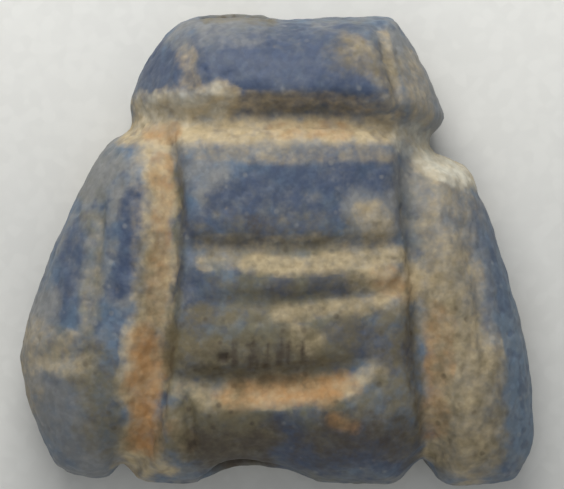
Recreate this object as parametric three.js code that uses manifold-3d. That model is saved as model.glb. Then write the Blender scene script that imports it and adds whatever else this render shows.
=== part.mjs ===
// Amulet in the shape of a fly, cut from one piece of blue stone. It lies on its flat underside with
// the head towards +Y. The back is a low dome: cuts set off the head, the two folded wings and the
// bands of the abdomen. A stringing hole runs through the length, left of the middle.
// Lengths are millimetres, +Z is up, and the origin is at the middle of the underside.
import * as THREE from "three";
import { mergeVertices } from "three/addons/utils/BufferGeometryUtils.js";
import Module from "manifold-3d";

// Overall sizes
const WIDTH = 15.0;
const LENGTH = 13.8;
const THICKNESS = 6.4;
// Height at which the sides stand upright, and how far the foot is drawn in below it
const GIRDLE_HEIGHT = 2.2;
const FOOT_INSET = 0.8;
// Width of the rounded upper edge: at the sides and head, and at the tail
const SIDE_ROUNDING = 1.5;
const TAIL_ROUNDING = 2.5;
// How far the eyes' side faces fall below the crown of the head
const EYE_DROP = 1.3;
// Stringing hole along Y
const HOLE_DIAMETER = 1.9;
const HOLE_OFFSET = -1.15;
const HOLE_HEIGHT = 2.6;
const MOUTH_DEPTH = 0.8;
const MOUTH_FLARE = 0.2;
const MOUTH_RISE_DEG = 6;
// Cuts: how far the walls on the left and on the right of the cut's line reach out, and the depth. The
// left wall of a wing cut or a band is the steep one, and it is the side of the abdomen's raised parts.
// A higher power makes both walls steeper and the floor narrower.
const CUT_POWER = 1.5;
const NECK_CUT = { left: 0.75, right: 0.65, depth: 0.85 };
const WING_CUT = { left: 0.45, right: 0.95, depth: 0.75 };
const FIRST_BAND_CUT = { left: 0.4, right: 0.6, depth: 0.38 };
const SECOND_BAND_CUT = { left: 0.4, right: 0.55, depth: 0.3 };
const LAST_BAND_CUT = { left: 0.48, right: 0.8, depth: 0.52 };
const FINE_CUT = { left: 0.37, right: 0.37, depth: 0.28 };

// Fineness of the mesh. Its columns and rows crowd at the rim and at the cuts: [share of the way, how
// much denser, reach]. Detail of an edge fades inwards by a power.
const COLUMNS = 62;
const ROWS = 60;
const COLUMN_FOCUS_SHARES = [[0, 1.4, 0.05], [0.24, 1.8, 0.05], [0.8, 1.8, 0.05], [1, 1.4, 0.05]];
const ROW_FOCUS_SHARES = [
  [0, 1.4, 0.05], [0.225, 1.6, 0.04], [0.37, 1.4, 0.03],
  [0.48, 1.6, 0.03], [0.77, 1.4, 0.06], [1, 1.2, 0.05],
];
const FOCUS_SAMPLES = 2000;
// The crowded rows and columns run along the cuts. A row guide is the row's own share of the way, and
// where it really runs at the left and right edge. A column guide is a share along, and the shares
// across of the columns at the left and right wing cut there.
const ROW_GUIDE_SHARES = [[0.225, 0.185, 0.265], [0.37, 0.343, 0.4], [0.48, 0.475, 0.485]];
const WING_COLUMN_SHARES = [0.24, 0.8];
const COLUMN_GUIDE_SHARES = [
  [0, 0.16, 0.785], [0.07, 0.225, 0.785], [0.2, 0.275, 0.768], [0.4, 0.27, 0.784], [0.6, 0.235, 0.818],
  [0.7, 0.18, 0.89], [1, 0.15, 0.89],
];
const TAIL_FADE = 7;
const SIDE_FADE = 2;
const HOLE_SIDES = 28;
const CUT_STEPS = 24;
const BACK_STEPS = 80;
const MERGE_DISTANCE = 1e-4;

const halfWidth = WIDTH / 2;
const halfLength = LENGTH / 2;
const { clamp, smoothstep, lerp } = THREE.MathUtils;

// Proportions of the outline, seen from above. A point is [share of half the width, share of half
// the length], and each side runs from the tail to the head.
const LEFT_SIDE_SHARES = [
  [-0.864, -0.915], [-0.928, -0.76], [-0.996, -0.515], [-0.979, -0.36], [-0.901, -0.091],
  [-0.819, 0.12], [-0.713, 0.354], [-0.656, 0.442], [-0.573, 0.497], [-0.557, 0.545],
  [-0.567, 0.619], [-0.526, 0.735], [-0.468, 0.842], [-0.376, 0.962],
];
const RIGHT_SIDE_SHARES = [
  [0.94, -0.949], [0.985, -0.85], [0.998, -0.725], [0.987, -0.515], [0.948, -0.31],
  [0.897, -0.107], [0.831, 0.096], [0.782, 0.24], [0.742, 0.332], [0.68, 0.372], [0.612, 0.4],
  [0.588, 0.44], [0.608, 0.485], [0.654, 0.545], [0.62, 0.654], [0.573, 0.764], [0.457, 0.949],
];
const BROW_SHARES = [
  [-0.376, 0.962], [-0.29, 0.988], [-0.2, 0.999], [-0.12, 0.997], [-0.045, 0.984], [0.013, 0.962],
  [0.131, 0.973], [0.423, 0.977], [0.457, 0.949],
];
const TAIL_SHARES = [
  [-0.864, -0.915], [-0.8, -0.958], [-0.7, -0.978], [-0.44, -0.998], [0.0, -0.998], [0.8, -1.0],
  [0.94, -0.949],
];
// Where the wing cuts and the worn mouth of the hole break the tail's edge: middle and reach to the
// left and right as shares of half the width, depth as a share of half the length, and how square the
// hollow is
const TAIL_NOTCHES = [
  { middleShare: -0.605, leftShare: 0.03, rightShare: 0.045, depthShare: 0.075, power: 2 },
  { middleShare: -0.075, leftShare: 0.19, rightShare: 0.19, depthShare: 0.072, power: 4 },
  { middleShare: 0.572, leftShare: 0.075, rightShare: 0.045, depthShare: 0.12, power: 2 },
];
// Height of the back along the middle, from tail to head: [share of half the length, share of the
// thickness]
const BACK_SHARES = [
  [-1, 0.84], [-0.6, 0.93], [-0.2, 0.985], [0.15, 1.0], [0.45, 0.985], [0.7, 0.97], [1, 0.84],
];
// Fall of the back towards its sides, as a share of the thickness: at the wings and at the head
const WING_FALL_SHARE = 0.3;
const HEAD_FALL_SHARE = 0.105;
const FALL_POWER = 2.3;
// Width of the back at the head, as a share of the full width
const HEAD_SPAN_SHARE = 0.62;
// Crown of the head between the two eye faces, and the slope down to them, in the outline's shares
const CROWN_MIDDLE_SHARE = 0.05;
const CROWN_HALF_SHARE = 0.385;
const EYE_SLOPE_SHARE = 0.2;
// Where the wings' form changes to the head's, and where the tail's wider rounding sets in
const HEAD_RANGE_SHARES = [0.5, 0.58];
const TAIL_RANGE_SHARES = [0.5, 0.95];
// How square the rounded upper edge is: 2 is a quarter of an ellipse
const EDGE_POWER = 2.2;
// The side below the girdle: share of the girdle's height, and share of the foot's inset
const SIDE_STEP_SHARES = [[0.55, 0.08], [0.2, 0.42], [0, 1]];

// The cuts, each along a line of points in the same shares. faded gives the ends that run out
// shallow, as shares of the cut's own length.
const CUTS = [
  {
    name: "neck",
    size: NECK_CUT,
    line: [[-0.7, 0.52], [-0.42, 0.53], [0.0, 0.54], [0.3, 0.54], [0.5, 0.5], [0.7, 0.4]],
  },
  {
    name: "left wing",
    size: WING_CUT,
    line: [
      [-0.42, 0.46], [-0.392, 0.15], [-0.42, -0.2], [-0.445, -0.5], [-0.475, -0.72], [-0.51, -0.87],
      [-0.605, -1.02],
    ],
  },
  {
    name: "right wing",
    size: WING_CUT,
    line: [
      [0.565, -1.02], [0.6, -0.86], [0.585, -0.73], [0.55, -0.47], [0.54, -0.2], [0.512, 0.12], [0.5, 0.42],
    ],
  },
  {
    name: "first band",
    size: FIRST_BAND_CUT,
    line: [[-0.44, 0.008], [0.09, -0.002], [0.52, 0.022]],
    faded: [0.2, 0],
  },
  {
    name: "second band",
    size: SECOND_BAND_CUT,
    line: [[-0.48, -0.25], [0.09, -0.215], [0.55, -0.16]],
    faded: [0.5, 0],
  },
  {
    name: "last band",
    size: LAST_BAND_CUT,
    line: [[-0.5, -0.575], [-0.2, -0.555], [0.1, -0.535], [0.42, -0.46]],
    faded: [0.3, 0.25],
  },
  {
    name: "left vein",
    size: FINE_CUT,
    line: [[-0.67, 0.2], [-0.7, -0.09], [-0.74, -0.38]],
    faded: [0.25, 0.25],
  },
  {
    name: "left wing tip",
    size: FINE_CUT,
    line: [[-1.02, -0.48], [-0.84, -0.46], [-0.68, -0.43]],
    faded: [0, 0.3],
  },
  {
    name: "right vein",
    size: FINE_CUT,
    line: [[0.735, 0.1], [0.78, -0.2], [0.81, -0.5]],
    faded: [0.3, 0.3],
  },
  {
    name: "left eye",
    size: FINE_CUT,
    line: [[-0.335, 0.87], [-0.34, 0.6]],
    faded: [0.3, 0],
  },
  {
    name: "right eye",
    size: FINE_CUT,
    line: [[0.4, 0.95], [0.435, 0.76], [0.475, 0.56]],
  },
  {
    name: "tail nick",
    size: FINE_CUT,
    line: [[-0.345, -0.63], [-0.32, -0.83]],
    faded: [0, 0.3],
  },
];

// A smooth curve through points given in shares, in millimetres
function curveThrough(points) {
  return new THREE.SplineCurve(
    points.map(([x, y]) => new THREE.Vector2(x * halfWidth, y * halfLength)),
  );
}

const leftCurve = curveThrough(LEFT_SIDE_SHARES);
const rightCurve = curveThrough(RIGHT_SIDE_SHARES);
const browCurve = curveThrough(BROW_SHARES);
const tailBase = curveThrough(TAIL_SHARES);

// The tail's edge with its notches
function tailPoint(share) {
  const p = tailBase.getPointAt(share);
  for (const { middleShare, leftShare, rightShare, depthShare, power } of TAIL_NOTCHES) {
    const off = p.x / halfWidth - middleShare;
    const away = Math.abs(off) / (off < 0 ? leftShare : rightShare);
    p.y += depthShare * halfLength * Math.exp(-(away ** power));
  }
  return p;
}

const corners = {
  tailLeft: leftCurve.getPointAt(0),
  tailRight: rightCurve.getPointAt(0),
  browLeft: leftCurve.getPointAt(1),
  browRight: rightCurve.getPointAt(1),
};

function between(a, b, share) {
  return a.clone().lerp(b, share);
}

// A point of the plan, from shares of the way across and along. It starts in the four-cornered
// panel, and each edge pulls the points near it out to the real outline.
function planPoint(across, along) {
  const { tailLeft, tailRight, browLeft, browRight } = corners;
  const tailChord = between(tailLeft, tailRight, across);
  const browChord = between(browLeft, browRight, across);
  const leftPull = leftCurve.getPointAt(along).sub(between(tailLeft, browLeft, along));
  const rightPull = rightCurve.getPointAt(along).sub(between(tailRight, browRight, along));
  const tailPull = tailPoint(across).sub(tailChord);
  const browPull = browCurve.getPointAt(across).sub(browChord);
  return between(tailChord, browChord, along)
    .addScaledVector(leftPull, (1 - across) ** SIDE_FADE)
    .addScaledVector(rightPull, across ** SIDE_FADE)
    .addScaledVector(tailPull, (1 - along) ** TAIL_FADE)
    .addScaledVector(browPull, along ** TAIL_FADE);
}

// Reads a line of [place, value] points at a place
function readAt(points, place) {
  const within = clamp(place, points[0][0], points[points.length - 1][0]);
  const next = Math.max(1, points.findIndex(([at]) => at >= within));
  const [[from, start], [to, end]] = [points[next - 1], points[next]];
  return lerp(start, end, (within - from) / (to - from));
}

// A point of the plan from its row's and column's own shares of the way, moved to follow the cuts
function gridPoint(column, row) {
  const rowStops = ROW_GUIDE_SHARES.map(([own, left, right]) => [own, lerp(left, right, column)]);
  const along = readAt([[0, 0], ...rowStops, [1, 1]], row);
  const columnStops = WING_COLUMN_SHARES.map((own, side) => {
    const guide = COLUMN_GUIDE_SHARES.map((shares) => [shares[0], shares[1 + side]]);
    return [own, readAt(guide, along)];
  });
  return planPoint(readAt([[0, 0], ...columnStops, [1, 1]], column), along);
}

// Shares from 0 to 1 in so many steps, closer together near each focus
function crowdedShares(steps, focuses) {
  const density = (share) =>
    focuses.reduce((sum, [at, extra, reach]) => sum + extra * Math.exp(-(((share - at) / reach) ** 2)), 1);
  const run = [0];
  for (let i = 0; i < FOCUS_SAMPLES; i += 1) run.push(run[i] + density((i + 0.5) / FOCUS_SAMPLES));
  const shares = [];
  for (let step = 0, i = 0; step <= steps; step += 1) {
    const target = (run[FOCUS_SAMPLES] * step) / steps;
    while (i < FOCUS_SAMPLES && run[i] < target) i += 1;
    const before = Math.max(0, i - 1);
    const part = i > before ? (target - run[before]) / (run[i] - run[before]) : 0;
    shares.push((before + part) / FOCUS_SAMPLES);
  }
  return shares;
}

// Shortest distance from a point to a line of points, how far along the line it falls, and the side
// it lies on: 1 on the left and -1 on the right
function nearest(x, y, line) {
  let best = Infinity;
  let along = 0;
  let side = 0;
  for (let i = 0; i + 1 < line.length; i += 1) {
    const a = line[i];
    const b = line[i + 1];
    const dx = b.x - a.x;
    const dy = b.y - a.y;
    const t = clamp(((x - a.x) * dx + (y - a.y) * dy) / (dx * dx + dy * dy), 0, 1);
    const distance = Math.hypot(x - a.x - t * dx, y - a.y - t * dy);
    if (distance < best) {
      best = distance;
      along = (i + t) / (line.length - 1);
      side = (dx * (y - a.y) - dy * (x - a.x)) / (Math.hypot(dx, dy) * Math.max(distance, MERGE_DISTANCE));
    }
  }
  return { distance: best, along, side };
}

const cuts = CUTS.map(({ size, line, faded = [0, 0] }) => ({
  size,
  faded,
  line: curveThrough(line).getSpacedPoints(CUT_STEPS),
}));

// How deep the cuts are at a point. Where two cross, the deeper one counts.
function cutDepth(x, y) {
  let deepest = 0;
  for (const { size, line, faded } of cuts) {
    const { distance, along, side } = nearest(x, y, line);
    const off = distance / lerp(size.right, size.left, smoothstep(side, -1, 1));
    if (off >= 1) continue;
    const start = faded[0] ? smoothstep(along, 0, faded[0]) : 1;
    const end = faded[1] ? smoothstep(1 - along, 0, faded[1]) : 1;
    deepest = Math.max(deepest, size.depth * start * end * (1 - off * off) ** CUT_POWER);
  }
  return deepest;
}

// Height of the dome at a point before the upper edge is rounded
const backLine = new THREE.SplineCurve(BACK_SHARES.map(([y, z]) => new THREE.Vector2(y, z)));
const backSamples = backLine.getPoints(BACK_STEPS).map((p) => [p.x, p.y]);
function domeHeight(x, y) {
  const along = clamp(y / halfLength, -1, 1);
  const line = readAt(backSamples, along) * THICKNESS;
  const span = halfWidth * lerp(1, HEAD_SPAN_SHARE, smoothstep(along, -1, 1));
  const onHead = smoothstep(along, ...HEAD_RANGE_SHARES);
  const steepness = Math.min(1, Math.abs(x / span)) ** FALL_POWER;
  const fall = THICKNESS * lerp(WING_FALL_SHARE, HEAD_FALL_SHARE, onHead) * steepness;
  const beyondCrown = Math.abs(x / halfWidth - CROWN_MIDDLE_SHARE) - CROWN_HALF_SHARE;
  const eyeDrop = EYE_DROP * onHead * clamp(beyondCrown / EYE_SLOPE_SHARE, 0, 1);
  return line - fall - eyeDrop;
}

// Share of the dome's height at a distance inside the outline
function edgeShare(distance, y) {
  const rounding = lerp(SIDE_ROUNDING, TAIL_ROUNDING, smoothstep(-y / halfLength, ...TAIL_RANGE_SHARES));
  const inside = clamp(1 - distance / rounding, 0, 1);
  return Math.sqrt(1 - inside ** EDGE_POWER);
}

// Back, sides and underside as one closed mesh
function bodyGeometry() {
  const positions = [];
  const faces = [];
  const grid = (column, row) => row * (COLUMNS + 1) + column;
  const plan = [];
  const columnShares = crowdedShares(COLUMNS, COLUMN_FOCUS_SHARES);
  for (const row of crowdedShares(ROWS, ROW_FOCUS_SHARES)) {
    for (const column of columnShares) plan.push(gridPoint(column, row));
  }
  const rim = [];
  for (let column = 0; column < COLUMNS; column += 1) rim.push(grid(column, 0));
  for (let row = 0; row < ROWS; row += 1) rim.push(grid(COLUMNS, row));
  for (let column = COLUMNS; column > 0; column -= 1) rim.push(grid(column, ROWS));
  for (let row = ROWS; row > 0; row -= 1) rim.push(grid(0, row));
  const outline = [...rim, rim[0]].map((i) => plan[i]);
  for (const p of plan) {
    const { distance } = nearest(p.x, p.y, outline);
    const dome = Math.max(0, domeHeight(p.x, p.y) - cutDepth(p.x, p.y) - GIRDLE_HEIGHT);
    positions.push(p.x, p.y, GIRDLE_HEIGHT + dome * edgeShare(distance, p.y));
  }
  for (let row = 0; row < ROWS; row += 1) {
    for (let column = 0; column < COLUMNS; column += 1) {
      const [a, b] = [grid(column, row), grid(column + 1, row)];
      const [c, d] = [grid(column + 1, row + 1), grid(column, row + 1)];
      // The diagonal with the smaller step keeps ridges and cuts straight
      const step = (i, j) => Math.abs(positions[3 * i + 2] - positions[3 * j + 2]);
      if (step(a, c) < step(b, d)) faces.push(a, b, c, a, c, d);
      else faces.push(a, b, d, b, c, d);
    }
  }
  let ring = rim;
  for (const [height, inset] of SIDE_STEP_SHARES) {
    const below = [];
    for (const i of rim) {
      const p = plan[i];
      below.push(positions.length / 3);
      const drawnIn = 1 - (inset * FOOT_INSET) / halfWidth;
      positions.push(p.x * drawnIn, p.y * drawnIn, height * GIRDLE_HEIGHT);
    }
    ring.forEach((i, k) => {
      const n = (k + 1) % ring.length;
      faces.push(i, below[k], below[n], i, below[n], ring[n]);
    });
    ring = below;
  }
  const contour = ring.map((i) => new THREE.Vector2(positions[3 * i], positions[3 * i + 1]));
  for (const [a, b, c] of THREE.ShapeUtils.triangulateShape(contour, [])) {
    faces.push(ring[a], ring[c], ring[b]);
  }
  return new THREE.BufferGeometry()
    .setAttribute("position", new THREE.Float32BufferAttribute(positions, 3))
    .setIndex(faces);
}

// One mouth of the stringing hole: a cone worn upwards by the cord. towards is 1 at the head and -1
// at the tail.
function mouthGeometry(towards) {
  const reach = MOUTH_DEPTH * 2;
  const radius = HOLE_DIAMETER / 2;
  const cone = new THREE.CylinderGeometry(radius + 2 * MOUTH_FLARE, radius, reach, HOLE_SIDES);
  const end = towards * (halfLength - MOUTH_DEPTH);
  return cone
    .translate(0, reach / 2, 0)
    .rotateX(towards > 0 ? 0 : Math.PI)
    .rotateX(towards * THREE.MathUtils.degToRad(MOUTH_RISE_DEG))
    .translate(HOLE_OFFSET, end, HOLE_HEIGHT);
}

const wasm = await Module();
wasm.setup();

function solidOf(geometry) {
  geometry.deleteAttribute("normal");
  geometry.deleteAttribute("uv");
  const merged = mergeVertices(geometry, MERGE_DISTANCE);
  return new wasm.Manifold(
    new wasm.Mesh({
      numProp: 3,
      vertProperties: merged.attributes.position.array,
      triVerts: new Uint32Array(merged.index.array),
    }),
  );
}

function geometryOf(solid) {
  const mesh = solid.getMesh();
  const geometry = new THREE.BufferGeometry();
  geometry.setAttribute("position", new THREE.BufferAttribute(mesh.vertProperties, mesh.numProp));
  geometry.setIndex(new THREE.BufferAttribute(mesh.triVerts, 1));
  geometry.computeVertexNormals();
  return geometry;
}

function amuletGeometry() {
  const hole = new THREE.CylinderGeometry(HOLE_DIAMETER / 2, HOLE_DIAMETER / 2, 2 * LENGTH, HOLE_SIDES);
  hole.translate(HOLE_OFFSET, 0, HOLE_HEIGHT);
  const cut = solidOf(bodyGeometry())
    .subtract(solidOf(hole))
    .subtract(solidOf(mouthGeometry(1)))
    .subtract(solidOf(mouthGeometry(-1)));
  const geometry = geometryOf(cut);
  geometry.computeBoundingBox();
  const { min, max } = geometry.boundingBox;
  return geometry.translate(-(min.x + max.x) / 2, -(min.y + max.y) / 2, -min.z);
}

const blueStone = new THREE.MeshStandardMaterial({ color: 0x4d566b, roughness: 0.62, metalness: 0 });

const flyAmulet = new THREE.Group();
const body = new THREE.Mesh(amuletGeometry(), blueStone);
body.name = "fly_amulet";
flyAmulet.add(body);

export default flyAmulet;
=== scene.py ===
# Fly amulet of blue stone: the carved body with its worn and dusty surface, lying on a pale table.
# Working sizes are millimetres, and the finished mesh is in metres.
from collections import namedtuple

import bmesh
import bpy
import numpy as np
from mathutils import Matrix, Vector, noise


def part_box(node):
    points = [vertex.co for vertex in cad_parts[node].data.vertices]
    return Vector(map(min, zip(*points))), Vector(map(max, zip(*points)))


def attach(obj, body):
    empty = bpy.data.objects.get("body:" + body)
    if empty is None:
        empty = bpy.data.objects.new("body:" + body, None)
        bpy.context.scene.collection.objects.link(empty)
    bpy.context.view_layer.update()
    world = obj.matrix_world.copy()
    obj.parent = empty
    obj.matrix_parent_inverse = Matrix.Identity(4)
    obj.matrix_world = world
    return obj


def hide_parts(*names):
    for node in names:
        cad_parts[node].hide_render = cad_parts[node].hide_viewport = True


bl_info = {
    "name": "Fly amulet",
    "version": (1, 0, 0),
    "blender": (4, 5, 0),
    "location": "View3D > Sidebar > Fly amulet",
    "description": "Carves a worn blue stone amulet in the shape of a fly, and sets its stage",
    "category": "Object",
}

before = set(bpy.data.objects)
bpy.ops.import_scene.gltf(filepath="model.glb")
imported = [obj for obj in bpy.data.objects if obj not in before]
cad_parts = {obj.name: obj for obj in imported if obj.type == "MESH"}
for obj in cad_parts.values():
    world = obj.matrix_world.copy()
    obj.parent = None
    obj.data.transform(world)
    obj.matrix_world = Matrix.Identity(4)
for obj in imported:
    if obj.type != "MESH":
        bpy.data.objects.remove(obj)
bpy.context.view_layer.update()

NODE = "fly_amulet"
MM = 0.001
LOW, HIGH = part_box(NODE)
HALF_WIDTH = (HIGH.x - LOW.x) / 2 / MM
HALF_LENGTH = (HIGH.y - LOW.y) / 2 / MM

# Stringing hole along Y: offset and height of its middle, and the worn mouth's middle and reach
HOLE_OFFSET = -1.15
HOLE_HEIGHT = 2.6
MOUTH_RADIUS = 1.3

# A cut of the carving: its line in shares of half the width and half the length, and in millimetres
# the width that is still sharp, and how much deeper the sharp middle is than the soft form around it.
Cut = namedtuple("Cut", "width depth line")
CUTS = {
    "neck": Cut(0.9, 0.04, [
        (-0.7, 0.52), (-0.42, 0.53), (0, 0.54), (0.3, 0.54), (0.5, 0.5), (0.7, 0.4)]),
    "left wing": Cut(0.6, 0.05, [
        (-0.42, 0.46), (-0.392, 0.15), (-0.42, -0.2), (-0.445, -0.5), (-0.475, -0.72), (-0.51, -0.87),
        (-0.605, -1.02)]),
    "right wing": Cut(0.6, 0.05, [
        (0.565, -1.02), (0.6, -0.86), (0.585, -0.73), (0.55, -0.47), (0.54, -0.2), (0.512, 0.12),
        (0.5, 0.42)]),
    "first band": Cut(0.5, 0.03, [(-0.36, 0.008), (0.09, -0.002), (0.5, 0.022)]),
    "second band": Cut(0.5, 0.03, [(0, -0.22), (0.09, -0.215), (0.5, -0.165)]),
    "last band": Cut(0.6, 0.04, [(-0.28, -0.56), (0.1, -0.535), (0.34, -0.48)]),
    "left vein": Cut(0.4, 0.06, [(-0.68, 0.2), (-0.705, -0.09), (-0.745, -0.38)]),
    "right vein": Cut(0.4, 0.05, [(0.735, 0.1), (0.78, -0.2), (0.81, -0.5)]),
    "left eye": Cut(0.4, 0.05, [(-0.335, 0.85), (-0.34, 0.6)]),
    "right eye": Cut(0.35, 0.08, [(0.4, 0.93), (0.435, 0.76), (0.475, 0.58)]),
    "tail nick": Cut(0.3, 0.12, [(-0.345, -0.63), (-0.32, -0.83)]),
}

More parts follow.
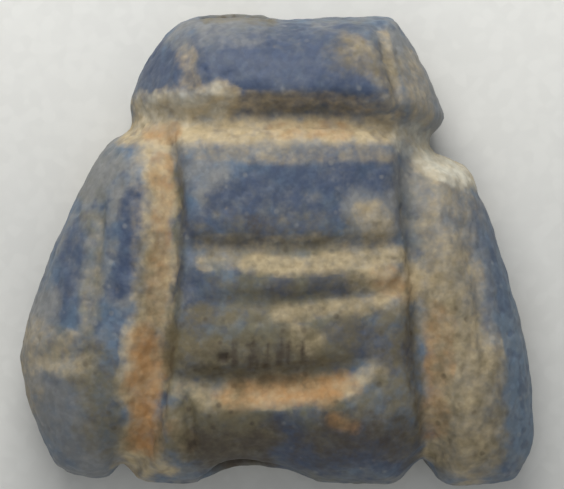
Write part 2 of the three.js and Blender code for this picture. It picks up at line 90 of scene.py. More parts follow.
# What lies on the stone, with some painted light and shade, as strokes over the back: half width, strength,
# and a line of points, in millimetres. olive is stone gone olive, clear is clean pale blue stone and also
# painted light on the right wing's edge, blue is deeper blue stone and also painted shade on the tail, and
# grey is paler grey stone.
# sand is pale deposit, chalk is nearly white deposit and also painted light on shaded walls by the neck,
# rust is orange deposit, film is thin olive brown dirt and also painted shade at the head and on the tail,
# and soil is dark dirt and also painted shade on the tail.
Stroke = namedtuple("Stroke", "half strength line")
STROKES = {
    "olive": [
        Stroke(2.8, 0.8, [(0.2, -1.6), (0.2, -5.2)]),
        Stroke(0.35, 0.9, [(-2.95, 2.0), (-2.95, 0.0), (-3.05, -1.8), (-3.2, -3.6)]),
        Stroke(0.8, 0.5, [(5.1, -0.6), (5.5, -3.2), (5.6, -5.8)]),
        Stroke(0.8, 0.5, [(-6.8, -2.8), (-5.4, -3.4), (-4.9, -5.2)]),
        Stroke(0.5, 0.45, [(-0.4, 4.3), (1.8, 4.2)]),
        Stroke(0.7, 0.6, [(4.2, 2.2), (4.4, 0.0)]),
        Stroke(0.6, 0.7, [(-5.1, 2.7), (-5.4, 1.9)]),
        Stroke(0.35, 0.6, [(-5.3, 0.9), (-5.4, -2.2)]),
        Stroke(1.3, 0.3, [(-1.8, 5.4), (2.0, 5.4)]),
        Stroke(0.5, 0.9, [(-3.1, -3.9), (-2.4, -4.3)]),
    ],
    "clear": [
        # Paler blue along the right wing's edge: stone colour and painted light on that shaded side
        Stroke(0.6, 1.0, [(5.9, 0.6), (6.4, -0.6), (6.8, -1.8), (7.2, -4.0), (7.2, -5.6)]),
    ],
    "sand": [
        # Neck, and the edges on both sides of it
        Stroke(0.5, 1.0, [(-4.2, 3.4), (-2.5, 3.4), (0, 3.4), (1.8, 3.4), (3.2, 3.35)]),
        Stroke(0.35, 0.2, [(-2.4, 2.8), (0.9, 2.75)]),
        Stroke(0.3, 0.25, [(0.9, 2.75), (3.2, 2.75)]),
        Stroke(0.65, 0.8, [(-3.7, 3.8), (-2.7, 4.0), (-1.6, 4.1)]),
        Stroke(0.4, 0.3, [(-0.8, 4.15), (1.2, 4.1), (3.0, 4.05)]),
        Stroke(0.45, 0.2, [(3.4, 3.2), (4.3, 3.1)]),
        # Wing cuts and the slope of the right wing
        Stroke(0.46, 0.95, [(-3.4, 3.0), (-3.38, 2.0), (-3.36, 0), (-3.45, -1.5)]),
        Stroke(0.35, 0.12, [(-3.9, 2.6), (-3.85, 1.0), (-3.85, -1.5)]),
        Stroke(0.6, 0.9, [(-3.55, -1.5), (-3.85, -2.7), (-3.95, -3.9), (-3.9, -5.0), (-4.05, -6.2)]),
        Stroke(0.6, 0.1, [(4.2, 2.4), (4.4, 0.6)]),
        Stroke(0.5, 0.4, [(4.5, 0.6), (4.7, -0.8)]),
        Stroke(0.55, 0.75, [(4.7, -1.0), (4.8, -3.6), (4.8, -5.8)]),
        Stroke(0.85, 0.25, [(4.9, 1.8), (5.0, 0.4)]),
        Stroke(0.6, 0.42, [(5.0, 0.4), (5.3, -0.8), (5.6, -2.6)]),
        Stroke(0.85, 0.75, [(5.6, -2.6), (5.6, -4.4), (5.6, -6.0)]),
        # Bands
        Stroke(0.3, 0.3, [(-2.0, 0.12), (3.0, 0.15)]),
        Stroke(0.3, 0.35, [(-2.0, -0.32), (-0.9, -0.4)]),
        Stroke(0.32, 0.85, [(-0.9, -0.4), (0.7, -0.5), (1.85, -0.34), (3.5, -0.22)]),
        Stroke(0.3, 0.85, [(0.1, -1.85), (0.7, -1.85), (1.85, -1.68), (3.2, -1.4)]),
        Stroke(0.35, 0.4, [(-2.9, -4.0), (-2.0, -4.3)]),
        Stroke(0.4, 0.7, [(-2.0, -4.3), (-0.9, -4.2)]),
        Stroke(0.5, 1.0, [(-1.4, -4.25), (0.7, -4.1), (1.95, -3.9)]),
        Stroke(0.35, 0.65, [(1.85, -4.0), (2.8, -3.5)]),
        Stroke(0.7, 1.0, [(2.8, -0.95), (3.7, -1.0)]),
        Stroke(0.45, 0.85, [(0.6, -2.6), (0.9, -2.75)]),
        Stroke(0.45, 0.5, [(2.75, 1.0), (3.1, 0.7)]),
        # Left wing, head and tail
        Stroke(0.7, 0.45, [(-6.9, -2.9), (-5.6, -3.1)]),
        Stroke(0.5, 0.3, [(-7.1, -2.4), (-7.2, -4.4)]),
        Stroke(0.35, 0.1, [(-5.3, 0.8), (-5.35, -0.8), (-5.4, -2.2)]),
        Stroke(0.35, 0.35, [(-2.5, 5.5), (-2.5, 4.6)]),
        Stroke(0.2, 0.4, [(3.1, 6.2), (3.3, 5.2), (3.55, 3.9)]),
        Stroke(0.5, 0.3, [(2.2, 5.8), (3.0, 5.1)]),
        Stroke(0.4, 0.25, [(3.9, 5.4), (4.2, 3.9)]),
        Stroke(0.35, 0.5, [(-3.1, -4.8), (-2.6, -5.8)]),
        Stroke(0.3, 0.8, [(-3.6, -6.1), (-3.1, -6.4)]),
        # Rim of the right shoulder
        Stroke(0.55, 1.0, [(4.5, 2.6), (5.1, 2.5), (5.6, 2.2)]),
    ],
    "chalk_and_painted_light": [
        Stroke(0.5, 0.7, [(4.6, 2.6), (5.1, 2.5), (5.6, 2.2)]),
        # Painted light: paler colour on the shaded wall right of the neck
        Stroke(0.45, 0.3, [(3.6, 3.15), (4.3, 3.1)]),
        # Painted light: paler colour on the head's shaded lower left wall
        Stroke(0.6, 0.25, [(-3.5, 3.95), (-1.9, 4.15)]),
    ],
    "rust": [
        Stroke(0.5, 0.75, [(-3.7, -2.6), (-3.85, -3.8), (-3.8, -5.6)]),
        Stroke(0.35, 0.25, [(-3.3, 2.4), (-3.3, 0.4), (-3.5, -2.0)]),
        Stroke(0.3, 0.45, [(-3.6, 3.35), (-3.0, 3.35)]),
        Stroke(0.45, 0.65, [(-1.4, -4.3), (0.4, -4.15), (2.0, -3.85)]),
        Stroke(0.4, 0.4, [(4.7, -1.9), (4.65, -3.2), (4.6, -5.2)]),
        Stroke(0.3, 0.2, [(0.0, 3.4), (2.0, 3.4)]),
        Stroke(0.24, 1.0, [(1.65, -5.0), (2.2, -5.1)]),
        Stroke(0.5, 0.25, [(3.0, -0.9), (3.6, -1.1)]),
        Stroke(0.3, 0.3, [(-3.0, -5.2), (-2.6, -5.6)]),
    ],
    "film_and_painted_shade": [
        # Thin dirt and painted shade on the head's shaded lower wall
        Stroke(0.45, 0.12, [(-0.2, 4.1), (1.8, 4.05)]),
        Stroke(0.6, 0.35, [(2.0, 5.6), (3.2, 5.2)]),
        # Painted shade: the shaded lower lip of the hole's mouth at the head
        Stroke(0.2, 0.6, [(-2.0, 6.75), (-1.2, 6.8), (-0.2, 6.65)]),
        Stroke(0.85, 1.0, [(-2.7, -2.9), (-1.8, -3.0)]),
        Stroke(0.85, 0.75, [(-1.8, -3.0), (0.4, -3.0), (1.8, -2.9)]),
        Stroke(0.6, 0.4, [(-1.4, -1.3), (2.4, -1.2)]),
        Stroke(0.35, 0.25, [(-2.0, -0.3), (3.4, -0.15)]),
        Stroke(0.4, 0.75, [(-2.4, -2.0), (-1.4, -1.9)]),
        Stroke(0.4, 0.5, [(-1.4, -1.9), (3.4, -1.8)]),
        # Dirt and painted shade on the tail's bevel
        Stroke(0.95, 0.95, [(-2.6, -5.2), (-0.9, -5.25)]),
        Stroke(0.8, 0.4, [(1.4, -5.1), (3.4, -5.0)]),
        Stroke(0.6, 0.4, [(4.7, -0.9), (4.9, -2.0), (5.0, -4.0), (5.0, -6.0)]),
        Stroke(0.5, 0.3, [(-3.6, 0.0), (-3.6, -2.2)]),
        Stroke(0.9, 0.6, [(3.4, -2.2), (3.6, -5.2)]),
        Stroke(0.8, 0.45, [(-5.2, -3.4), (-4.9, -5.4)]),
        Stroke(0.7, 0.35, [(6.0, -3.6), (6.0, -6.0)]),
        Stroke(0.6, 0.15, [(-2.0, 0.5), (3.0, 0.5)]),
    ],
    "soil_and_painted_shade": [
        # Soil and painted shade on the tail's bevel
        Stroke(0.7, 0.75, [(-2.0, -5.9), (-0.6, -5.9)]),
        Stroke(0.6, 0.25, [(-2.4, -3.2), (0.6, -3.3)]),
        Stroke(0.35, 0.3, [(-0.6, 0.7), (-0.3, 0.5)]),
        # Soil and painted shade on the tail's bevel
        Stroke(0.7, 0.3, [(0.0, -5.2), (0.8, -5.7)]),
        Stroke(0.8, 0.5, [(1.6, -5.6), (3.2, -5.5)]),
    ],
    "blue": [
        Stroke(1.4, 1.0, [(-2.0, 5.1), (0.2, 5.1), (2.0, 5.0)]),
        Stroke(0.55, 0.95, [(-1.6, 5.1), (-0.4, 5.2)]),
        Stroke(0.5, 0.65, [(0.2, 6.1), (2.0, 6.1)]),
        Stroke(0.7, 1.0, [(-3.6, 5.5), (-3.3, 4.8)]),
        Stroke(0.9, 0.8, [(-1.0, 1.4), (0.6, 1.9), (2.8, 2.2)]),
        Stroke(0.7, 0.6, [(-2.2, 0.6), (0.6, 0.8), (1.8, 1.1)]),
        Stroke(0.4, 0.9, [(-0.7, 0.7), (-0.2, 0.5)]),
        Stroke(0.4, 0.65, [(-5.8, 0.4), (-6.2, -1.8)]),
        Stroke(0.38, 0.85, [(-4.15, 1.4), (-4.3, 0.0), (-4.5, -1.1)]),
        Stroke(0.45, 0.5, [(5.7, 1.0), (6.1, 0.1), (6.4, -0.8)]),
        Stroke(0.35, 0.45, [(6.3, -0.8), (6.5, -1.6)]),
        Stroke(0.55, 0.65, [(-2.6, -0.9), (-2.0, -1.1), (-2.3, -1.9)]),
        Stroke(0.35, 0.9, [(-0.1, -1.1), (0.3, -1.1)]),
        Stroke(0.4, 0.8, [(1.2, -0.9), (1.8, -1.1)]),
        Stroke(0.6, 0.9, [(2.0, -2.5), (3.4, -2.9)]),
        # Deeper blue stone and painted shade on the tail's bevel
        Stroke(0.9, 1.0, [(0.3, -5.7), (3.4, -5.7)]),
        Stroke(0.6, 1.0, [(0.0, -5.2), (0.7, -5.6)]),
    ],
    "grey": [
        Stroke(0.5, 0.5, [(-2.6, 6.2), (-0.8, 6.35)]),
        Stroke(0.6, 0.8, [(3.8, 5.8), (4.5, 4.2), (4.2, 3.2)]),
        Stroke(0.6, 0.7, [(-5.1, 2.7), (-5.4, 1.9)]),
        Stroke(0.3, 0.35, [(-5.3, 0.9), (-5.35, -0.8), (-5.4, -2.2)]),
        Stroke(0.9, 0.8, [(-6.4, -4.4), (-5.6, -6.2)]),
        Stroke(0.4, 0.7, [(-2.6, 2.2), (-1.6, 2.3)]),
        Stroke(0.35, 0.3, [(-2.6, 2.75), (3.1, 2.75)]),
        Stroke(0.5, 1.0, [(3.5, 3.2), (4.3, 3.1)]),
        Stroke(1.0, 0.65, [(4.4, 2.0), (4.9, 0.4)]),
        Stroke(1.0, 0.8, [(4.9, 0.4), (5.2, -1.6), (5.5, -3.4), (5.5, -6.0)]),
        Stroke(0.6, 0.9, [(-6.8, -1.6), (-7.2, -3.4), (-7.0, -4.6)]),
        Stroke(0.6, 1.0, [(2.5, 1.1), (3.2, 0.7)]),
    ],
}

# A row of short file marks across the third band: place of the first, spacing, how much their places
# and ends vary, size, and how strongly soil fills them
FILE_MARKS = {
    "count": 7, "x": -1.2, "spacing": 0.32, "uneven": 0.09, "top": -2.7, "bottom": -3.4,
    "width": 0.19, "depth": 0.035, "soil_and_painted_shade": 0.75}

# A single dark pit in the third band: middle and size
PIT = {"x": -1.53, "y": -3.15, "radius": 0.21, "depth": 0.18}

# Sizes of the unevenness, in millimetres: broad waves, lumps, coarse grain, and the cells of a rough grid
# of which a share hold one small pit each
WAVE_SIZE = 3.0
LUMP_SIZE = 0.8
GRAIN_SIZE = 0.25
PIT_CELL = 0.55
PIT_SHARE = 0.25

# Marks of the tool along the cuts, in millimetres
TOOL_MARKS = {"length": 1.6, "spacing": 0.09, "depth": 0.03}

# Heights in millimetres over which the deposits of the back set in, and the clean blue and the chalk, both
# partly painted light
BACK_RISE = (0.4, 1.6)
UPPER_RISE = (1.6, 3.2)

# How often the form is softened to tell what is hollow and what stands out
SOFTENING = 12


class AmuletSizes(bpy.types.PropertyGroup):
    """Sizes of the carved body's surface, in millimetres"""

    mesh_size: bpy.props.FloatProperty(
        name="Mesh size", description="Side of the mesh's faces in millimetres", default=0.1, min=0.05)
    draft_mesh_size: bpy.props.FloatProperty(
        name="Draft mesh size", description="Side of the faces in a quick draft", default=0.16, min=0.1)
    smoothing: bpy.props.IntProperty(
        name="Smoothing", description="How often the facets are smoothed", default=7, min=0)
    wave_height: bpy.props.FloatProperty(
        name="Wave height", description="Height of the broad unevenness", default=0.07)
    lump_height: bpy.props.FloatProperty(
        name="Lump height", description="Height of the lumps under a millimetre wide", default=0.045)
    grain_height: bpy.props.FloatProperty(
        name="Grain height", description="Height of the coarse grain", default=0.02)
    pit_depth: bpy.props.FloatProperty(
        name="Pit depth", description="Depth of the small scattered pits", default=0.06)
    crust_height: bpy.props.FloatProperty(
        name="Crust height", description="Height of the sandy crust in the cuts", default=0.035)


class AmuletColours(bpy.types.PropertyGroup):
    """Colours of the stone and of what lies on it, some also used as painted light and shade"""

    blue: bpy.props.FloatVectorProperty(
        name="Blue", description="Blue of the stone", subtype="COLOR", default=(0.1, 0.148, 0.213))
    # Clear blue is also painted light along the right wing's edge
    clear: bpy.props.FloatVectorProperty(
        name="Clear blue", description="Clean pale blue stone", subtype="COLOR", default=(0.13, 0.185, 0.25))
    # Deep blue is also painted shade on the tail
    deep: bpy.props.FloatVectorProperty(
        name="Deep blue", description="Deepest blue spots", subtype="COLOR", default=(0.048, 0.07, 0.125))
    grey: bpy.props.FloatVectorProperty(
        name="Grey", description="Worn grey stone", subtype="COLOR", default=(0.2, 0.205, 0.205))
    speck: bpy.props.FloatVectorProperty(
        name="Specks", description="Pale specks in the stone", subtype="COLOR", default=(0.42, 0.41, 0.36))
    sand: bpy.props.FloatVectorProperty(
        name="Sand", description="Sandy deposit", subtype="COLOR", default=(0.49, 0.4, 0.25))
    dark_sand: bpy.props.FloatVectorProperty(
        name="Dark sand", description="Darker grains of the sandy deposit", subtype="COLOR",
        default=(0.4, 0.32, 0.19))
    # Chalk is also painted light on shaded walls by the neck
    chalk_and_painted_light: bpy.props.FloatVectorProperty(
        name="Chalk", description="Nearly white deposit", subtype="COLOR", default=(0.58, 0.57, 0.49))
    rust: bpy.props.FloatVectorProperty(
        name="Rust", description="Orange stain", subtype="COLOR", default=(0.38, 0.2, 0.075))
    olive: bpy.props.FloatVectorProperty(
        name="Olive", description="Stone gone olive", subtype="COLOR", default=(0.135, 0.13, 0.088))
    # Film is also painted shade at the head and on the tail
    film_and_painted_shade: bpy.props.FloatVectorProperty(
        name="Film", description="Thin olive brown dirt", subtype="COLOR", default=(0.15, 0.125, 0.07))
    # Soil is also painted shade on the tail
    soil_and_painted_shade: bpy.props.FloatVectorProperty(
        name="Soil", description="Dark soil", subtype="COLOR", default=(0.06, 0.045, 0.03))


class StageSettings(bpy.types.PropertyGroup):
    """Camera, table and light"""

    lens: bpy.props.FloatProperty(
        name="Lens", description="Focal length in millimetres", unit="CAMERA", default=500.0)
    frame_width: bpy.props.FloatProperty(
        name="Frame width", description="Width in view at the object's sides, in millimetres", default=16.46)
    centre_x: bpy.props.FloatProperty(
        name="Centre X", description="Middle of the view across, in millimetres", default=0.16)
    centre_y: bpy.props.FloatProperty(
        name="Centre Y", description="Middle of the view along, in millimetres", default=0.12)
    table: bpy.props.FloatVectorProperty(
        name="Table", description="Colour of the table", subtype="COLOR", default=(0.74, 0.745, 0.72))
    key_power: bpy.props.FloatProperty(
        name="Key light", description="Power of the window light", unit="POWER", default=0.062)
    fill_power: bpy.props.FloatProperty(
        name="Fill light", description="Power of the soft light overhead", unit="POWER", default=0.24)
    bounce_power: bpy.props.FloatProperty(
        name="Bounce light", description="Power of the weak light from the tail", unit="POWER", default=0.02)
    sky: bpy.props.FloatProperty(
        name="Sky", description="Strength of the light from all around", default=0.24)


def spread(points, line):
    """Distance of each point to a line of points, and how far along the line it falls, in its own units."""
    best = np.full(len(points), np.inf)
    along = np.zeros(len(points))
    run = 0.0
    for a, b in zip(line[:-1], line[1:]):
        step = b - a
        length = np.linalg.norm(step)
        share = np.clip(((points - a) @ step) / length**2, 0, 1)
        away = np.linalg.norm(points - a - share[:, None] * step, axis=1)
        nearer = away < best
        best = np.where(nearer, away, best)
        along = np.where(nearer, run + share * length, along)
        run += length
    return best, along


def fractal(points, size, octaves, shift):
    """Soft noise from about -1 to 1, with lumps of the given size."""
    offset = Vector((shift, 2 * shift, -shift))
    return np.array([
        noise.fractal(Vector(p) / size + offset, 1.0, 2.0, octaves) for p in points
    ])


def rise(value, low, high):
    """0 below low and 1 above high, with a smooth rise between."""
    share = np.clip((value - low) / (high - low), 0, 1)
    return share * share * (3 - 2 * share)


def body_in_millimetres(mesh_size):
    """The carved form as an even mesh of small faces, in millimetres."""
    shape = bmesh.new()
    shape.from_mesh(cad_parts[NODE].data)
    bmesh.ops.remove_doubles(shape, verts=shape.verts, dist=1e-7)
    bmesh.ops.scale(shape, verts=shape.verts, vec=(1 / MM,) * 3)
    mesh = bpy.data.meshes.new("coarse form")
    shape.to_mesh(mesh)
    shape.free()
    coarse = bpy.data.objects.new("coarse form", mesh)
    bpy.context.scene.collection.objects.link(coarse)
    remesh = coarse.modifiers.new("even faces", "REMESH")
    remesh.mode = "VOXEL"
    remesh.voxel_size = mesh_size
    even = bpy.data.meshes.new_from_object(coarse.evaluated_get(bpy.context.evaluated_depsgraph_get()))
    bpy.data.objects.remove(coarse)
    bpy.data.meshes.remove(mesh)
    return even


def points_and_normals(shape):
    points = np.array([v.co for v in shape.verts])
    normals = np.array([v.normal for v in shape.verts])
    return points, normals


def cut_line(cut):
    return np.array(cut.line) * (HALF_WIDTH, HALF_LENGTH)


def file_marks():
    """Lines of the short file marks in millimetres, uneven as if filed by hand."""
    marks = []
    for index in range(FILE_MARKS["count"]):
        shift, slant, upper, lower = FILE_MARKS["uneven"] * np.sin(index * np.array([2.1, 1.3, 3.7, 5.3]))
        x = FILE_MARKS["x"] + index * FILE_MARKS["spacing"] + shift
        marks.append(np.array([
            (x, FILE_MARKS["top"] + upper), (x + slant, FILE_MARKS["bottom"] + lower)]))
    return marks


def recut(points, normals):
    """How far the surface is lowered by the sharp middles of the cuts and the marks of the tool in them."""
    lowered = np.zeros(len(points))
    on_top = rise(normals[:, 2], 0.0, 0.4) * rise(points[:, 2], 1.5, 3.0)
    uneven = fractal(points, 0.9, 3, shift=11.0)
    for cut in CUTS.values():
        away, along = spread(points[:, :2], cut_line(cut))
        away = away + 0.05 * uneven
        inside = np.clip(1 - (2 * away / cut.width) ** 2, 0, 1)
        strokes = np.stack(
            [away / TOOL_MARKS["spacing"], along / TOOL_MARKS["length"], np.zeros(len(points))], axis=1)
        marks = TOOL_MARKS["depth"] * fractal(strokes, 1.0, 2, shift=5.0)
        lowered = np.maximum(lowered, inside * (cut.depth + marks) * (1 + 0.4 * uneven))
    for line in file_marks():
        away, _ = spread(points[:, :2], line)
        inside = np.clip(1 - (2 * away / FILE_MARKS["width"]) ** 2, 0, 1)
        lowered += inside * FILE_MARKS["depth"] * (1 + uneven)
    return lowered * on_top


def pits(points, size, share):
    """Small round pits, one in some of the cells of a rough grid: 1 in the middle of a pit, 0 outside."""
    depth = np.zeros(len(points))
    for i, p in enumerate(points):
        distances, cells = noise.voronoi(Vector(p) / size)
        chosen = noise.cell(cells[0] * 7.3) < share
        if chosen:
            depth[i] = max(0.0, 1 - (distances[0] / 0.3) ** 2)
    return depth


def stroke_mask(points, strokes, ragged):
    """How strongly strokes of one kind cover each point of the back."""
    cover = np.zeros(len(points))
    for stroke in strokes:
        away, _ = spread(points[:, :2], np.array(stroke.line))
        away = away / stroke.half + ragged
        cover = np.maximum(cover, stroke.strength * (1 - rise(away, 0.35, 1.35)))
    return cover


def covers_of_the_back(points):
    """What lies on the upper side, with its painted light and shade, as one cover for each kind, before it
    fades towards the foot.
    """
    ragged = 0.4 * fractal(points, 0.9, 2, shift=13.0)
    covers = {kind: stroke_mask(points, strokes, ragged) for kind, strokes in STROKES.items()}
    marks = [Stroke(FILE_MARKS["width"] / 2, FILE_MARKS["soil_and_painted_shade"], line) for line in file_marks()]
    covers["soil_and_painted_shade"] = np.maximum(covers["soil_and_painted_shade"], stroke_mask(points, marks, 0.5 * ragged))
    return covers


def share_in_pit(points, normals):
    """1 in the middle of the single dark pit, 0 outside it."""
    away = np.hypot(points[:, 0] - PIT["x"], points[:, 1] - PIT["y"]) / PIT["radius"]
    return np.clip(1 - away**2, 0, 1) * rise(normals[:, 2], 0.2, 0.6)


def share_in_hole(points):
    """1 inside the stringing hole, 0 outside it and at the rims of its worn mouths."""
    away = np.hypot(points[:, 0] - HOLE_OFFSET, points[:, 2] - HOLE_HEIGHT)
    inwards = rise(HALF_LENGTH - np.abs(points[:, 1]), 0.1, 0.9)
    return (1 - rise(away, 0.85 * MOUTH_RADIUS, MOUTH_RADIUS)) * inwards


def relief(points, normals, sizes, sand, in_pit):
    """How far each point stands out from the plain form, in millimetres."""
    wave = fractal(points, WAVE_SIZE, 2, shift=1.0)
    lump = fractal(points, LUMP_SIZE, 3, shift=3.0)
    grain = fractal(points, GRAIN_SIZE, 2, shift=7.0)
    small_pits = pits(points, PIT_CELL, PIT_SHARE)
    height = (
        sizes.wave_height * wave
        + sizes.lump_height * lump
        + sizes.grain_height * grain
        - sizes.pit_depth * small_pits
        + sizes.crust_height * sand * (0.4 + grain)
        - PIT["depth"] * in_pit
        - recut(points, normals)
    )
    facing_down = rise(-normals[:, 2], 0.5, 0.9)
    return height * (1 - 0.75 * facing_down)


def add_patches_below(covers, points, below):
    """Lays loose patches of the same kinds on the underside and the foot of the sides."""
    patchy = fractal(points, 2.2, 4, shift=21.0)
    dirty = fractal(points, 3.0, 3, shift=29.0)
    covers["sand"] = np.maximum(covers["sand"], 0.55 * below * rise(patchy, 0.0, 0.5))
    covers["grey"] = np.maximum(covers["grey"], 0.6 * below * rise(-patchy, 0.0, 0.5))
    covers["film_and_painted_shade"] = np.maximum(covers["film_and_painted_shade"], 0.6 * below * rise(dirty, -0.1, 0.4))
    covers["blue"] = np.maximum(covers["blue"], 0.5 * below * rise(-dirty, 0.0, 0.5))


def smooth(shape, passes):
    for _ in range(passes):
        bmesh.ops.smooth_vert(
            shape, verts=shape.verts, factor=0.5, use_axis_x=True, use_axis_y=True, use_axis_z=True)


def hollows(shape, points):
    """How far each point lies below the soft form around it, in millimetres."""
    soft = shape.copy()
    smooth(soft, SOFTENING)
    soft_points, _ = points_and_normals(soft)
    _, normals = points_and_normals(shape)
    soft.free()
    return np.einsum("ij,ij->i", soft_points - points, normals)


def move_along_normals(shape, normals, amounts):
    for vert, normal, amount in zip(shape.verts, normals, amounts):
        vert.co += Vector(normal) * float(amount)
        vert.co.z = max(0.0, vert.co.z)
    shape.normal_update()


def write_attribute(mesh, name, values):
    attribute = mesh.attributes.new(name, "FLOAT", "POINT")
    attribute.data.foreach_set("value", np.clip(values, 0, 1).astype(np.float32))


class AMULET_OT_carve_body(bpy.types.Operator):
    """Carves the body of the fly and gives it its worn, dusty stone"""

    bl_idname = "amulet.carve_body"
    bl_label = "Carve the body"

    def execute(self, context):
        sizes = context.scene.amulet_sizes
        mesh = body_in_millimetres(sizes.mesh_size)
        shape = bmesh.new()
        shape.from_mesh(mesh)
        smooth(shape, sizes.smoothing)
        shape.normal_update()
        points, normals = points_and_normals(shape)

        below = 1 - rise(points[:, 2], *BACK_RISE)
        covers = {kind: cover * (1 - below) for kind, cover in covers_of_the_back(points).items()}
        for kind in ("clear", "chalk_and_painted_light"):
            covers[kind] = covers[kind] * rise(points[:, 2], *UPPER_RISE)
        in_pit = share_in_pit(points, normals)
        move_along_normals(shape, normals, relief(points, normals, sizes, covers["sand"], in_pit))
        smooth(shape, 1)
        shape.normal_update()

        points, _ = points_and_normals(shape)
        hollow = hollows(shape, points)
        add_patches_below(covers, points, below)
        covers["soil_and_painted_shade"] = np.maximum(covers["soil_and_painted_shade"], share_in_hole(points))
        covers["soil_and_painted_shade"] = np.maximum(covers["soil_and_painted_shade"], rise(in_pit, 0.0, 0.4))

        bmesh.ops.scale(shape, verts=shape.verts, vec=(MM,) * 3)
        bmesh.ops.recalc_face_normals(shape, faces=shape.faces)
        for face in shape.faces:
            face.smooth = True
        shape.to_mesh(mesh)
        shape.free()
        for kind, cover in covers.items():
            write_attribute(mesh, kind, cover)
        write_attribute(mesh, "worn", rise(-hollow, 0.02, 0.09))
        write_attribute(mesh, "hollow", rise(hollow, 0.01, 0.08))
        mesh.name = "Fly amulet body"
        mesh.materials.clear()
        mesh.materials.append(blue_stone(context.scene.amulet_colours))
        body = bpy.data.objects.new("Fly_amulet_body", mesh)
        context.scene.collection.objects.link(body)
        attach(body, "root")
        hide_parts(NODE)
        return {"FINISHED"}


# Materials

# Scale of the patterns upright, against 1 along the back: drawn out a little, as if run down the sides
UPRIGHT_SCALE = 0.65


class Nodes:
    """Short ways to add and join the nodes of one tree."""

    def __init__(self, tree):
        self.tree = tree

    def add(self, kind, **settings):
        node = self.tree.nodes.new(kind)
        for name, value in settings.items():
            setattr(node, name, value)
        return node

    def join(self, source, target):
        self.tree.links.new(source, target)

    def feed(self, target, value):
        """Joins a socket, or sets a plain value."""
        if isinstance(value, bpy.types.NodeSocket):
            self.join(value, target)
        else:
            target.default_value = value

    def math(self, operation, *values, clamp=False):
        node = self.add("ShaderNodeMath", operation=operation, use_clamp=clamp)
        for socket, value in zip(node.inputs, values):
            self.feed(socket, value)
        return node.outputs["Value"]

    def noise(self, vector, scale, detail, roughness):
        node = self.add("ShaderNodeTexNoise")
        self.join(vector, node.inputs["Vector"])
        self.feed(node.inputs["Scale"], scale)
        node.inputs["Detail"].default_value = detail
        node.inputs["Roughness"].default_value = roughness
        return node.outputs["Fac"]

    def ramp(self, value, low, high):
        node = self.add("ShaderNodeMapRange", interpolation_type="SMOOTHSTEP", clamp=True)
        self.feed(node.inputs["Value"], value)
        self.feed(node.inputs["From Min"], low)
        self.feed(node.inputs["From Max"], high)
        return node.outputs["Result"]

    def mix(self, factor, a, b, blend="MIX"):
        node = self.add("ShaderNodeMix", data_type="RGBA", blend_type=blend)
        self.feed(node.inputs["Factor"], factor)
        self.feed(node.inputs["A"], a)
        self.feed(node.inputs["B"], b)
        return node.outputs["Result"]


def rgba(colour):
    return (*colour, 1.0)


def new_group(name, inputs, outputs):
    """An empty shader group. inputs are (name, socket type, default), outputs are (name, socket type)."""
    group = bpy.data.node_groups.new(name, "ShaderNodeTree")
    for label, kind, default in inputs:
        socket = group.interface.new_socket(label, in_out="INPUT", socket_type=kind)
        if default is not None:
            socket.default_value = default
    for label, kind in outputs:
        group.interface.new_socket(label, in_out="OUTPUT", socket_type=kind)
    nodes = Nodes(group)
    return group, nodes, nodes.add("NodeGroupInput"), nodes.add("NodeGroupOutput")


def broken_cover_group():
    """Breaks a soft cover into patches: 1 where the deposit is thick, 0 where the stone is bare."""
    group, nodes, given, result = new_group(
        "Broken cover",
        [("Vector", "NodeSocketVector", None), ("Cover", "NodeSocketFloat", 0.0),
         ("Grain", "NodeSocketFloat", 5.0), ("Softness", "NodeSocketFloat", 0.25)],
        [("Mask", "NodeSocketFloat")],
    )
    patches = nodes.noise(given.outputs["Vector"], given.outputs["Grain"], 2.0, 0.5)
    fine_scale = nodes.math("MULTIPLY", given.outputs["Grain"], 3.0)
    grains = nodes.noise(given.outputs["Vector"], fine_scale, 1.0, 0.5)
    uneven = nodes.math("ADD", nodes.math("MULTIPLY", patches, 0.7), nodes.math("MULTIPLY", grains, 0.3))
    spread_out = nodes.ramp(uneven, 0.15, 0.85)
    level = nodes.math("SUBTRACT", 1.0, given.outputs["Cover"])
    low = nodes.math("SUBTRACT", level, given.outputs["Softness"])
    high = nodes.math("ADD", level, given.outputs["Softness"])
    mask = nodes.ramp(spread_out, low, high)
    covered = nodes.ramp(given.outputs["Cover"], 0.0, 0.15)
    nodes.join(nodes.math("MULTIPLY", mask, covered), result.inputs["Mask"])
    return group


def surface_grain_group():
    """Fine grain of a matt surface, as a height and as a value for tint."""
    group, nodes, given, result = new_group(
        "Surface grain",
        [("Vector", "NodeSocketVector", None), ("Coarse", "NodeSocketFloat", 4.0),
         ("Fine", "NodeSocketFloat", 7.0)],
        [("Height", "NodeSocketFloat"), ("Tint", "NodeSocketFloat")],
    )
    coarse = nodes.noise(given.outputs["Vector"], given.outputs["Coarse"], 2.0, 0.5)
    cells = nodes.add("ShaderNodeTexVoronoi", feature="SMOOTH_F1")
    cells.inputs["Smoothness"].default_value = 0.6
    nodes.join(given.outputs["Vector"], cells.inputs["Vector"])
    nodes.join(given.outputs["Fine"], cells.inputs["Scale"])
    round_grains = nodes.math("MULTIPLY", cells.outputs["Distance"], -0.35)
    nodes.join(nodes.math("ADD", coarse, round_grains), result.inputs["Height"])
    nodes.join(nodes.ramp(cells.outputs["Color"], 0.2, 0.8), result.inputs["Tint"])
    return group


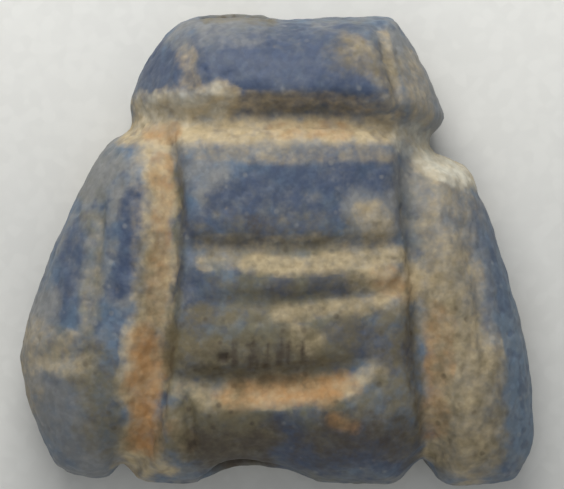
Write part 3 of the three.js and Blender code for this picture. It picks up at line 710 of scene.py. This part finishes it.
def specks_group():
    """Round specks, one in some of the cells of a rough grid: 1 in a speck, 0 outside."""
    group, nodes, given, result = new_group(
        "Specks",
        [("Vector", "NodeSocketVector", None), ("Scale", "NodeSocketFloat", 4.0),
         ("Share", "NodeSocketFloat", 0.3)],
        [("Mask", "NodeSocketFloat")],
    )
    cells = nodes.add("ShaderNodeTexVoronoi")
    nodes.join(given.outputs["Vector"], cells.inputs["Vector"])
    nodes.join(given.outputs["Scale"], cells.inputs["Scale"])
    inside = nodes.math("SUBTRACT", 1.0, nodes.ramp(cells.outputs["Distance"], 0.1, 0.32))
    level = nodes.math("SUBTRACT", 0.8, given.outputs["Share"])
    chosen = nodes.ramp(cells.outputs["Color"], level, nodes.math("ADD", level, 0.1))
    nodes.join(nodes.math("MULTIPLY", inside, chosen), result.inputs["Mask"])
    return group


def place_group(nodes, group, **values):
    node = nodes.add("ShaderNodeGroup", node_tree=group)
    for label, value in values.items():
        nodes.feed(node.inputs[label], value)
    return node


def new_material(name):
    material = bpy.data.materials.new(name)
    material.use_nodes = True
    nodes = Nodes(material.node_tree)
    shader = material.node_tree.nodes["Principled BSDF"]
    place = nodes.add("ShaderNodeTexCoord")
    mapping = nodes.add("ShaderNodeMapping")
    mapping.inputs["Scale"].default_value = (1 / MM, 1 / MM, UPRIGHT_SCALE / MM)
    nodes.join(place.outputs["Object"], mapping.inputs["Vector"])
    return material, nodes, shader, mapping.outputs["Vector"]


def attribute(nodes, name):
    return nodes.add("ShaderNodeAttribute", attribute_name=name).outputs["Fac"]


def shared_group(name, make):
    return bpy.data.node_groups.get(name) or make()


def blue_stone(colours):
    """Mottled blue stone, partly gone olive or grey, with sand, chalk, rust, film and soil on it, and with
    painted light in the chalk and the clear blue and painted shade in the deep blue, the film and the soil.
    """
    material, nodes, shader, place = new_material("Blue stone")
    cover_group = shared_group("Broken cover", broken_cover_group)
    speck_group = shared_group("Specks", specks_group)
    grain = place_group(nodes, shared_group("Surface grain", surface_grain_group), Vector=place)

    def cover(name, grain_size, softness, least=None):
        value = attribute(nodes, name)
        if least is not None:
            value = nodes.math("MAXIMUM", value, least)
        broken = place_group(
            nodes, cover_group, Vector=place, Cover=value, Grain=grain_size, Softness=softness)
        return broken.outputs["Mask"]

    # Bare stone: blue with olive, deeper and greyer areas, pale specks and paler worn edges; the clear blue
    # is partly painted light and the deep blue partly painted shade
    mottle = nodes.ramp(nodes.noise(place, 1.1, 3.0, 0.55), 0.35, 0.7)
    stone = nodes.mix(mottle, rgba(colours.blue), rgba(colours.grey))
    stone = nodes.mix(cover("olive", 1.6, 0.9), stone, rgba(colours.olive))
    stone = nodes.mix(cover("clear", 2.0, 0.9), stone, rgba(colours.clear))
    stone = nodes.mix(cover("blue", 2.4, 0.8), stone, rgba(colours.deep))
    spots = nodes.ramp(nodes.noise(place, 3.0, 1.0, 0.5), 0.5, 0.7)
    stone = nodes.mix(nodes.math("MULTIPLY", spots, 0.5), stone, rgba(colours.deep))
    stone = nodes.mix(cover("grey", 2.0, 0.8), stone, rgba(colours.grey))
    specks = place_group(nodes, speck_group, Vector=place, Scale=2.8, Share=0.15).outputs["Mask"]
    stone = nodes.mix(nodes.math("MULTIPLY", specks, 0.2), stone, rgba(colours.speck))
    worn = nodes.math("MULTIPLY", attribute(nodes, "worn"), 0.35)
    stone = nodes.mix(worn, stone, rgba(colours.speck))

    # Deposits: sand first, chalk and rust over it, then film, soil last; the chalk is partly painted light,
    # and the film and the soil partly painted shade
    dusty = nodes.math("MULTIPLY", attribute(nodes, "hollow"), 0.3)
    sand_grains = nodes.ramp(nodes.noise(place, 3.0, 2.0, 0.5), 0.38, 0.7)
    sand_colour = nodes.mix(sand_grains, rgba(colours.sand), rgba(colours.dark_sand))
    sand = cover("sand", 1.9, 0.8, dusty)
    colour = nodes.mix(sand, stone, sand_colour)
    colour = nodes.mix(cover("chalk_and_painted_light", 1.8, 0.85), colour, rgba(colours.chalk_and_painted_light))
    colour = nodes.mix(cover("rust", 1.7, 0.85), colour, rgba(colours.rust))
    film_and_painted_shade = cover("film_and_painted_shade", 2.2, 0.9)
    colour = nodes.mix(film_and_painted_shade, colour, rgba(colours.film_and_painted_shade))
    dark_specks = place_group(nodes, speck_group, Vector=place, Scale=2.6, Share=0.5).outputs["Mask"]
    speckled = nodes.math("MULTIPLY", dark_specks, nodes.math("MULTIPLY", film_and_painted_shade, 0.75))
    colour = nodes.mix(speckled, colour, rgba(colours.soil_and_painted_shade))
    colour = nodes.mix(cover("soil_and_painted_shade", 2.6, 0.7), colour, rgba(colours.soil_and_painted_shade))
    tint = nodes.mix(grain.outputs["Tint"], (0.92, 0.92, 0.92, 1.0), (1.08, 1.08, 1.08, 1.0))
    colour = nodes.mix(1.0, colour, tint, blend="MULTIPLY")
    nodes.join(colour, shader.inputs["Base Color"])

    # Matt all over, a little smoother where the stone is bare
    roughness = nodes.math("ADD", 0.55, nodes.math("MULTIPLY", sand, 0.35), clamp=True)
    nodes.join(roughness, shader.inputs["Roughness"])
    shader.inputs["Specular IOR Level"].default_value = 0.35
    bump = nodes.add("ShaderNodeBump")
    bump.inputs["Strength"].default_value = 0.5
    bump.inputs["Distance"].default_value = 0.03 * MM
    nodes.join(grain.outputs["Height"], bump.inputs["Height"])
    nodes.join(bump.outputs["Normal"], shader.inputs["Normal"])
    return material


def table_top(colour):
    """Plain pale table with a faint grain, and painted light falloff that makes it paler towards the head's
    end and darker towards the tail's end.
    """
    material, nodes, shader, place = new_material("Pale table")
    along = nodes.add("ShaderNodeSeparateXYZ")
    nodes.join(place, along.inputs["Vector"])
    # Painted light falloff: the table darker towards the tail's end and paler towards the head's end
    towards_head = nodes.ramp(along.outputs["Y"], -3.0, 9.0)
    painted_falloff = nodes.mix(towards_head, (0.84, 0.84, 0.84, 1.0), (1.02, 1.02, 1.02, 1.0))
    grain = place_group(
        nodes, shared_group("Surface grain", surface_grain_group), Vector=place, Coarse=0.4, Fine=3.0)
    tint = nodes.mix(grain.outputs["Tint"], (0.98, 0.98, 0.98, 1.0), (1.02, 1.02, 1.02, 1.0))
    toned = nodes.mix(1.0, rgba(colour), tint, blend="MULTIPLY")
    nodes.join(nodes.mix(1.0, toned, painted_falloff, blend="MULTIPLY"), shader.inputs["Base Color"])
    shader.inputs["Roughness"].default_value = 0.8
    return material


# Stage

# Places and sizes in metres
TABLE_SIZE = 1.6
KEY_PLACE = (-0.01, 0.062, 0.05)
KEY_SIZE = 0.055
BOUNCE_PLACE = (0.015, -0.11, 0.06)
BOUNCE_SIZE = 0.08
FILL_HEIGHT = 0.35
FILL_SIZE = 0.3

# Width of the camera's sensor, and the height of the object's widest part, both in millimetres
SENSOR_WIDTH = 36.0
GIRDLE_HEIGHT = 2.2


def add_light(name, place, size, power, colour):
    light = bpy.data.lights.new(name, "AREA")
    light.size = size
    light.energy = power
    light.color = colour
    lamp = bpy.data.objects.new(name, light)
    lamp.location = place
    lamp.rotation_euler = (-Vector(place)).to_track_quat("-Z", "Y").to_euler()
    bpy.context.scene.collection.objects.link(lamp)


class AMULET_OT_set_stage(bpy.types.Operator):
    """Lays the table and sets the light and the camera"""

    bl_idname = "amulet.set_stage"
    bl_label = "Set the stage"

    def execute(self, context):
        settings = context.scene.amulet_stage
        top = bmesh.new()
        bmesh.ops.create_grid(top, x_segments=1, y_segments=1, size=TABLE_SIZE / 2)
        mesh = bpy.data.meshes.new("Table")
        top.to_mesh(mesh)
        top.free()
        mesh.materials.append(table_top(settings.table))
        table = bpy.data.objects.new("Table", mesh)
        context.scene.collection.objects.link(table)

        add_light("Window light", KEY_PLACE, KEY_SIZE, settings.key_power, (1.0, 0.98, 0.95))
        add_light("Overhead light", (0, 0, FILL_HEIGHT), FILL_SIZE, settings.fill_power, (0.97, 0.98, 1.0))
        add_light("Bounce light", BOUNCE_PLACE, BOUNCE_SIZE, settings.bounce_power, (1.0, 0.99, 0.96))
        world = bpy.data.worlds.new("Soft surroundings")
        world.use_nodes = True
        background = world.node_tree.nodes["Background"]
        background.inputs["Color"].default_value = (0.96, 0.98, 1.0, 1.0)
        background.inputs["Strength"].default_value = settings.sky
        context.scene.world = world
        context.scene.view_settings.view_transform = "Standard"

        camera = bpy.data.objects.new("Camera", bpy.data.cameras.new("Camera"))
        camera.data.lens = settings.lens
        camera.data.sensor_width = SENSOR_WIDTH
        height = GIRDLE_HEIGHT + settings.frame_width * settings.lens / SENSOR_WIDTH
        camera.location = (settings.centre_x * MM, settings.centre_y * MM, height * MM)
        camera.data.clip_start = 0.01
        camera.data.clip_end = 2.0
        context.scene.collection.objects.link(camera)
        context.scene.camera = camera
        return {"FINISHED"}


class AMULET_PT_panel(bpy.types.Panel):
    """Lists the steps and the settings in the sidebar"""

    bl_idname = "AMULET_PT_panel"
    bl_label = "Fly amulet"
    bl_space_type = "VIEW_3D"
    bl_region_type = "UI"
    bl_category = "Fly amulet"

    def draw(self, context):
        for operator in (AMULET_OT_carve_body, AMULET_OT_set_stage):
            self.layout.operator(operator.bl_idname)
        for group in (context.scene.amulet_sizes, context.scene.amulet_colours, context.scene.amulet_stage):
            box = self.layout.box()
            for name in group.__annotations__:
                box.prop(group, name)


CLASSES = (
    AmuletSizes, AmuletColours, StageSettings, AMULET_OT_carve_body, AMULET_OT_set_stage, AMULET_PT_panel)


def register():
    for each in CLASSES:
        bpy.utils.register_class(each)
    bpy.types.Scene.amulet_sizes = bpy.props.PointerProperty(type=AmuletSizes)
    bpy.types.Scene.amulet_colours = bpy.props.PointerProperty(type=AmuletColours)
    bpy.types.Scene.amulet_stage = bpy.props.PointerProperty(type=StageSettings)


def unregister():
    del bpy.types.Scene.amulet_stage
    del bpy.types.Scene.amulet_colours
    del bpy.types.Scene.amulet_sizes
    for each in reversed(CLASSES):
        bpy.utils.unregister_class(each)


def main():
    register()
    bpy.ops.amulet.carve_body()
    bpy.ops.amulet.set_stage()


if __name__ == "__main__":
    main()
